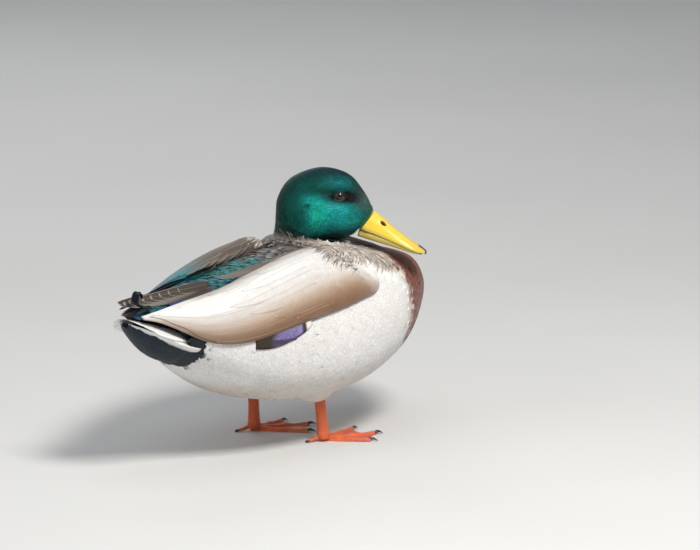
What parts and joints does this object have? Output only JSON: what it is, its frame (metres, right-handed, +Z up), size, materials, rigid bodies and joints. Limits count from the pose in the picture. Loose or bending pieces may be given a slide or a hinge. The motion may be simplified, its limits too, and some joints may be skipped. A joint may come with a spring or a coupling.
{
  "type": "mallard drake",
  "caption": "Life-size still model of a drake mallard duck standing on webbed feet, wings folded, head turned to its right and drawn in.",
  "frame": {"origin": "middle of the whole bird's box, on the floor under the soles of the feet", "axes": "+X from the tail to the breast, +Y to the bird's left, +Z up"},
  "size_m": [0.3476, 0.155, 0.2176],
  "materials": {
    "head_feathers": "dense small glossy bottle-green feathers, teal in the light",
    "breast_feathers": "soft purplish chestnut feathers with paler fringes",
    "flank_feathers": "soft pale grey feathers, finely vermiculated",
    "wing_feathers": "pale grey-brown scapulars and tertials, smooth vanes",
    "speculum": "violet-blue iridescent secondaries edged black and white",
    "flight_feathers": "grey-brown primaries with pale shafts",
    "rump_feathers": "black feathers glossed blue-green",
    "tail_feathers": "white tail feathers with grey middles",
    "bill": "smooth yellow horn, olive along the lower edge",
    "dark_horn": "dark slate horn",
    "eye": "wet dark brown eye",
    "leg": "orange-red scaly skin, paler on the webs"
  },
  "bodies": {
    "root": {"trunk": "flank_feathers", "rump": "rump_feathers", "neck": "breast_feathers", "head": "head_feathers", "bill_upper": "bill", "bill_lower": "bill", "bill_nail": "dark_horn", "eye_left": "eye", "eye_right": "eye", "wing_left": "wing_feathers", "wing_right": "wing_feathers", "speculum_left": "speculum", "speculum_right": "speculum", "primaries_left": "flight_feathers", "primaries_right": "flight_feathers", "tail": "tail_feathers", "uppertail": "rump_feathers", "undertail": "rump_feathers", "tail_curl_left": "rump_feathers", "tail_curl_right": "rump_feathers", "thigh_left": "flank_feathers", "thigh_right": "flank_feathers", "shank_left": "leg", "shank_right": "leg", "foot_left": "leg", "foot_right": "leg", "hind_toe_left": "leg", "hind_toe_right": "leg", "claw_outer_left": "dark_horn", "claw_middle_left": "dark_horn", "claw_inner_left": "dark_horn", "claw_outer_right": "dark_horn", "claw_middle_right": "dark_horn", "claw_inner_right": "dark_horn"}
  },
  "joints": []
}
